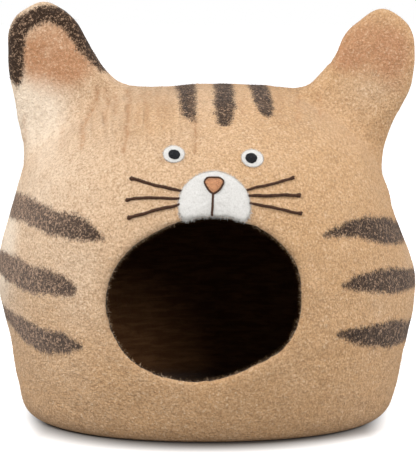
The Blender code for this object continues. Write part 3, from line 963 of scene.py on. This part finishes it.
for k, (name, *shape) in enumerate(EYES):
    rim = oval(*shape, wobble=0.03, seed=k + 1.0)
    mesh = patch_mesh("felt_" + name, rim, GAP / 2, WHITE_THICK)
    declare_patch(add_piece(mesh, WHITE_WOOL, [name]), rim)
    edge_hairs(name + "_hairs", rim, *EYE_HAIRS, WHITE_WOOL, "white_felt", 31 + k)
for k, (name, *shape) in enumerate(PUPILS):
    rim = oval(*shape, wobble=0.10, seed=k + 7.0)
    mesh = patch_mesh("felt_" + name, rim, WHITE_THICK, PUPIL_THICK)
    add_piece(mesh, BLACK_WOOL, [name])
    edge_hairs(name + "_hairs", rim, *PUPIL_HAIRS, BLACK_WOOL, "black_felt", 41 + k)


# ---- Muzzle
# The muzzle is a pad of loose white wool needled onto the head above the way
# in. It is thicker than the eyes, and its lower edge frays over the rim, where
# dark hairs of the inside come through it.

MUZZLE_THICK = 0.0026
MUZZLE = [
    # x, z in mm
    (6.0, 254.3), (-12.2, 249.3), (-24.1, 237.4), (-27.0, 224.5), (-25.8, 217.2),
    (-23.0, 212.4), (-10.1, 214.6), (4.0, 215.7), (20.0, 214.7), (35.2, 211.9),
    (38.2, 217.2), (38.7, 225.5), (35.9, 236.0), (25.6, 247.6),
]
MUZZLE_POINTS = 150
FRAYED_BELOW = 0.2185
FRAYED_FROM = -0.0003  # under the muzzle's edge
FRAY_HANG = (0.0, -0.9, -0.7)
MUZZLE_HAIRS = (0.0010, 2800, 0.0025, 0.00013)  # lift, how many, length and width
MUZZLE_FRAY = (620, 0.0036, 0.00026)  # how many, length and width
DARK_FRAY = (70, 0.0036, 0.00016)
DARK_BROWN = (0.020, 0.010, 0.006, 1), (0.060, 0.036, 0.024, 1)
muzzle_edge = closed_curve(np.array(MUZZLE) / 1000, MUZZLE_POINTS)
mesh = patch_mesh("muzzle_pad", muzzle_edge, GAP / 2, MUZZLE_THICK, rings=30, bulge=0.30, rough=0.16)
declare_patch(add_piece(mesh, WHITE_WOOL, ["muzzle"]), muzzle_edge)
edge_hairs("muzzle_hairs", muzzle_edge, *MUZZLE_HAIRS, WHITE_WOOL, "white_felt", 51)
low_edge = muzzle_edge[muzzle_edge[:, 1] < FRAYED_BELOW]


def fray(name, count, length, width, finish, slot, seed, up_to):
    """Hairs along the muzzle's lower edge, which hang over the rim."""
    rng = np.random.default_rng(seed)
    spots = low_edge[rng.integers(0, len(low_edge), count)]
    off = [rng.normal(0, 0.001, count), rng.uniform(FRAYED_FROM, up_to, count)]
    roots, ways = on_head(spots + np.stack(off, 1), MUZZLE_THICK * 0.6)
    lean = np.array(FRAY_HANG) + 0.40 * rng.normal(size=(count, 3)) + 0.2 * ways
    mesh = hairs_mesh(name, roots, unit(lean), length, width, seed + 1, bend=0.6)
    add_piece(mesh, finish)


fray("muzzle_fray", *MUZZLE_FRAY, WHITE_WOOL, "white_felt", 54, up_to=0.002)
DARK_HAIR = plain_felt("dark_hair", *DARK_BROWN, 0.95, 0.3)
fray("dark_fray", *DARK_FRAY, DARK_HAIR, "brown_yarn", 56, up_to=0.001)


# ---- Nose and mouth
# The nose is filled with satin stitches of rust thread, drawn close together,
# and outlined with brown yarn, couched down. One more length of that yarn runs
# from its point to the rim.

NOSE_EDGE = [
    # x, z in mm
    (14.3, 244.4), (11.6, 247.0), (5.4, 247.6), (-0.8, 247.0),
    (-3.0, 244.2), (-1.4, 239.6), (4.7, 234.0), (12.2, 239.2),
]
MOUTH_LINE = [(4.7, 233.6), (4.1, 224.0), (3.3, 216.6)]
PATH_STEP = 0.00035
ON_MUZZLE = MUZZLE_THICK
NOSE_YARN = 0.00095
MOUTH_YARN = 0.00110
STITCHES = 15
STITCH_RADIUS = 0.00058
STITCH_LEAN = 0.22  # how far a stitch slants for its height
STITCH_LIFT, STITCH_CROWN = 0.0003, 0.0006
GROUND_SINK, GROUND_THICK = 0.0005, 0.0011  # of the pad of thread under the stitches
PLY_OFF, PLY_RADIUS = 0.5, 0.62  # shares of the yarn's radius
PLY_SIDES, STITCH_SIDES = 7, 6
TWIST_PITCH = 0.0042
BROWN = (0.105, 0.046, 0.024, 1), (0.026, 0.011, 0.006, 1)
RUST = (0.720, 0.370, 0.190, 1), (0.340, 0.120, 0.050, 1)

BROWN_YARN = plain_felt("brown_yarn", *BROWN, 0.85, 0.1)
RUST_THREAD = plain_felt("rust_thread", *RUST, 0.6, 0.15)


def tube(centres, radii, sides, closed=False):
    """The points and faces of a tube along centres."""
    along = unit(heading(centres) if closed else np.gradient(centres, axis=0))
    aside = unit(np.cross(along, (0.13, 1.0, 0.21)))
    up = np.cross(along, aside)
    turn = np.arange(sides) * 2 * math.pi / sides
    ring = aside[:, None] * np.cos(turn)[None, :, None] + up[:, None] * np.sin(turn)[None, :, None]
    points = centres[:, None] + ring * radii[:, None, None]
    count = len(centres)
    faces = []
    for k in range(count if closed else count - 1):
        a, b = k * sides, ((k + 1) % count) * sides
        faces += [(a + i, a + j, b + j, b + i) for i, j in ring_pairs(sides)]
    if not closed:
        faces += [list(range(sides))[::-1], list(range((count - 1) * sides, count * sides))]
    return points.reshape(-1, 3), faces


def join_tubes(name, tubes):
    points, faces = [], []
    for some_points, some_faces in tubes:
        faces += [[i + len(points) for i in face] for face in some_faces]
        points += some_points.tolist()
    mesh = new_mesh(name, points, faces)
    mesh.shade_smooth()
    return mesh


def yarn_mesh(name, path, ways, radius, closed=False, swell=1.0):
    """Two plies twisted round each other along the path, which is their middle."""
    length = np.linalg.norm(np.diff(path, axis=0), axis=1).sum()
    count = len(path)
    turns = round(length / TWIST_PITCH)
    at = np.arange(count) / (count if closed else count - 1)
    swell = np.broadcast_to(swell, count)
    aside = unit(np.cross(unit(np.gradient(path, axis=0)), ways))
    tubes = []
    for ply in range(2):
        angle = 2 * math.pi * (at * turns + ply / 2)
        off = (ways * np.cos(angle)[:, None] + aside * np.sin(angle)[:, None]) * radius * PLY_OFF
        uneven = 1 + 0.14 * np.sin(at * 61 + ply * 2) + 0.10 * np.sin(at * 173 + ply)
        radii = radius * PLY_RADIUS * uneven * swell
        tubes.append(tube(path + off * swell[:, None], radii, PLY_SIDES, closed))
    return join_tubes(name, tubes)


def on_head_path(xz, lift, closed=False):
    """A close-set path on the head through the points xz, and its way out."""
    points, _ = on_head(xz, lift)
    if closed:
        points = np.vstack([points, points[:1]])
    lengths = np.linalg.norm(np.diff(points, axis=0), axis=1)
    at = np.concatenate([[0.0], np.cumsum(lengths)])
    count = round(at[-1] / PATH_STEP)
    wanted = np.linspace(0, at[-1], count + 1)[: count if closed else None]
    path = np.stack([np.interp(wanted, at, points[:, k]) for k in range(3)], 1)
    _, ways = on_head(path[:, (0, 2)])
    if closed:
        for _ in range(6):
            ways = unit(ways + np.roll(ways, 1, 0) + np.roll(ways, -1, 0))
    return path, ways


def bowed(start, middle, end):
    """A curve through three points, given in mm."""
    t = np.linspace(0, 1, 24)[:, None]
    start, middle, end = (np.array(p) / 1000 for p in (start, middle, end))
    leave, pass_by, arrive = (1 - t) * (1 - 2 * t), 4 * t * (1 - t), t * (2 * t - 1)
    return start * leave + middle * pass_by + end * arrive


nose_line = closed_curve(np.array(NOSE_EDGE) / 1000, 90)
path, ways = on_head_path(nose_line, ON_MUZZLE + NOSE_YARN * 0.8, closed=True)
mesh = yarn_mesh("nose_outline", path, ways, NOSE_YARN, closed=True)
add_piece(mesh, BROWN_YARN, ["nose_edge"])

nose_field = inset(nose_line, NOSE_YARN * 0.5)
mesh = patch_mesh("nose_ground", nose_field, ON_MUZZLE - GROUND_SINK, GROUND_THICK, rings=6)
add_piece(mesh, RUST_THREAD)


def crossing(field, x, lean):
    """Where a slanting line enters and leaves the closed curve field."""
    shifted = field[:, 0] - (field[:, 1] - field[:, 1].mean()) * lean - x
    nxt = np.roll(shifted, -1)
    cuts = np.nonzero(shifted * nxt < 0)[0]
    if len(cuts) < 2:
        return None
    ends = []
    for c in (cuts[0], cuts[-1]):
        t = shifted[c] / (shifted[c] - nxt[c])
        ends.append(field[c] * (1 - t) + field[(c + 1) % len(field)] * t)
    return sorted(ends, key=lambda p: p[1])


rng = np.random.default_rng(61)
tubes = []
left, right = nose_field[:, 0].min(), nose_field[:, 0].max()
for k in range(STITCHES):
    x = left + (right - left) * (k + 0.5) / STITCHES + rng.normal(0, 0.00010)
    ends = crossing(nose_field, x, -STITCH_LEAN + rng.normal(0, 0.03))
    if not ends:
        continue
    t = np.linspace(0, 1, 14)[:, None]
    xz = ends[0] * (1 - t) + ends[1] * t
    full = np.sin(math.pi * t[:, 0])
    crown = STITCH_CROWN * full + rng.uniform(0, 0.00025)
    points, _ = on_head(xz, ON_MUZZLE + STITCH_LIFT + crown)
    tubes.append(tube(points, STITCH_RADIUS * (0.8 + 0.35 * full), STITCH_SIDES))
add_piece(join_tubes("nose_stitches", tubes), RUST_THREAD, ["nose"])

path, ways = on_head_path(bowed(*MOUTH_LINE), ON_MUZZLE * 0.85 + MOUTH_YARN * 0.7)
add_piece(yarn_mesh("mouth_yarn", path, ways, MOUTH_YARN), BROWN_YARN, ["mouth_line"])


# ---- Whiskers
# Each whisker is one long stitch of two-ply brown wool yarn. It comes out of
# the head beside the muzzle and goes back in at its outer end, where a small
# knot thickens it.

WHISKERS = [
    # name, x and z of its inner end, middle and outer end, radius in mm
    ("whisker_left_1", (-24.4, 236.8), (-48.8, 241.9), (-71.6, 247.2), 1.45),
    ("whisker_left_2", (-25.9, 230.0), (-51.4, 230.7), (-75.4, 228.4), 1.35),
    ("whisker_left_3", (-26.0, 225.4), (-51.3, 218.9), (-73.4, 212.5), 1.50),
    ("whisker_right_1", (35.4, 238.0), (57.1, 242.5), (79.3, 247.4), 1.30),
    ("whisker_right_2", (37.2, 232.9), (60.7, 232.6), (84.9, 231.8), 1.50),
    ("whisker_right_3", (38.0, 226.9), (61.5, 221.6), (86.0, 215.6), 1.35),
]
KNOT_SWELL, INNER_TAPER = 0.45, 0.25
KNOT_AT, KNOT_LENGTH, TAPER_LENGTH = 0.975, 0.03, 0.12  # shares of a whisker
WHISKER_HAIRS = (160, 0.0012, 0.00007)  # how many, length and width
for k, (name, *points, radius) in enumerate(WHISKERS):
    radius /= 1000
    path, ways = on_head_path(bowed(*points), radius * 0.75)
    t = np.linspace(0, 1, len(path))
    wander = 0.00025 * np.sin(t * 9 + k * 2) + 0.00012 * np.sin(t * 23 + k)
    path = path + np.array([0.0, 0.0, 1.0]) * wander[:, None]
    swell = 1 - INNER_TAPER * np.exp(-((t / TAPER_LENGTH) ** 2))
    swell += KNOT_SWELL * np.exp(-(((t - KNOT_AT) / KNOT_LENGTH) ** 2))
    mesh = yarn_mesh(name + "_yarn", path, ways, radius, swell=swell)
    add_piece(mesh, BROWN_YARN, [name])
    rng = np.random.default_rng(71 + k)
    count, *size = WHISKER_HAIRS
    pick = rng.integers(0, len(path), count)
    lean = unit(rng.normal(size=(count, 3)) + 0.8 * ways[pick])
    roots = path[pick] + lean * radius * 0.7
    mesh = hairs_mesh(name + "_hairs", roots, lean, *size, 81 + k)
    add_piece(mesh, BROWN_YARN)


# ---- Floor, light and camera
# The cave stands on a white sheet, which has a painted shadow round the base and
# further out glows to pure white for the camera. A large soft light comes from
# the upper left in front of it, and one lower down shines into the way in. One
# on each side lifts the edges, and the white room fills the shadows.

FLOOR_HALF = 12.0
BASE_MIDDLE = (0.003, 0.009, 0.0)
# The sheet's colour carries a painted shadow, darkest where the base rests on it; further out the
# sheet glows to white for the camera.
SHADE_FROM_TO = (0.158, 0.212)  # it is darkest where the base rests on it
GLOW_FROM_TO = (0.186, 0.263)  # and from there outwards it is lit to pure white,
SIDE_GLOW_FROM_TO = (0.150, 0.188)  # sooner to the left and right than in front
BASE_PAINTED_SHADOW = (0.17, 0.16, 0.15, 1)
SHEET_WHITE = (0.95, 0.95, 0.95, 1)
SHEET_BOUNCE = (0.30, 0.29, 0.28, 1)  # the colour that it casts up onto the cave
SHEET_GLOW = 0.8
LAMPS = [
    # name, place, size, watts
    ("key_light", (-1.50, -1.50, 2.40), 1.1, 51.0),
    ("side_light", (-2.60, 0.20, 1.40), 0.9, 28.0),
    ("fill_light", (0.90, -2.50, 1.05), 0.6, 24.0),
    ("right_light", (2.65, 0.05, 1.50), 1.0, 43.0),
]
ROOM_LIGHT = 0.43
AIM = (0.0, 0.0, 0.1834)
CAMERA_DISTANCE = 2.3
CAMERA_ELEVATION = 6.8
LENS_MM = 183.2

corners = [(x * FLOOR_HALF, y * FLOOR_HALF, 0) for x, y in ((-1, -1), (1, -1), (1, 1), (-1, 1))]
floor_mesh = new_mesh("floor_sheet", corners, [(0, 1, 2, 3)])
floor = new_object("floor_sheet", floor_mesh)
white, tree, shader, place = new_material("white_sheet", 0.9, 0.0)
seen = add(tree, "LightPath").outputs["Is Camera Ray"]
from_base = add(tree, "Mapping", {"Vector": place, "Location": BASE_MIDDLE}).outputs[0]
away = add(tree, "VectorMath", {0: from_base}, operation="LENGTH").outputs["Value"]
sheet = mix(tree, ramp(tree, away, *SHADE_FROM_TO), BASE_PAINTED_SHADOW, SHEET_WHITE)
sheet = mix(tree, seen, SHEET_BOUNCE, sheet)
tree.links.new(sheet, shader.inputs["Base Color"])
aside = add(tree, "SeparateXYZ", {"Vector": from_base}).outputs["X"]
aside = ramp(tree, math_node(tree, "ABSOLUTE", aside), *SIDE_GLOW_FROM_TO)
glow = math_node(tree, "MAXIMUM", ramp(tree, away, *GLOW_FROM_TO), aside)
glow = times(tree, times(tree, glow, seen), SHEET_GLOW)
shader.inputs["Emission Color"].default_value = (1, 1, 1, 1)
tree.links.new(glow, shader.inputs["Emission Strength"])
floor_mesh.materials.append(white)


def aim(thing, place):
    thing.location = place
    thing.rotation_euler = (Vector(AIM) - Vector(place)).to_track_quat("-Z", "Y").to_euler()


for name, place, size, watts in LAMPS:
    lamp = bpy.data.lights.new(name, "AREA")
    lamp.energy = watts
    lamp.size = size
    aim(new_object(name, lamp), place)

world = bpy.data.worlds.new("white_room")
bpy.context.scene.world = world
world.use_nodes = True
tree = world.node_tree
room = tree.nodes["Background"]
room.inputs["Color"].default_value = (1, 1, 1, 1)
seen = add(tree, "LightPath").outputs["Is Camera Ray"]
strength = add(tree, "MapRange", {"Value": seen, "To Min": ROOM_LIGHT, "To Max": 1.0})
tree.links.new(strength.outputs["Result"], room.inputs["Strength"])

camera = new_object("camera", bpy.data.cameras.new("camera"))
camera.data.lens = LENS_MM
camera.data.sensor_width = 36.0
camera.data.clip_end = 100.0
tilt = math.radians(CAMERA_ELEVATION)
back = Vector((0, -math.cos(tilt), math.sin(tilt))) * CAMERA_DISTANCE
aim(camera, Vector(AIM) + back)
bpy.context.scene.camera = camera
bpy.context.scene.view_settings.view_transform = "Standard"
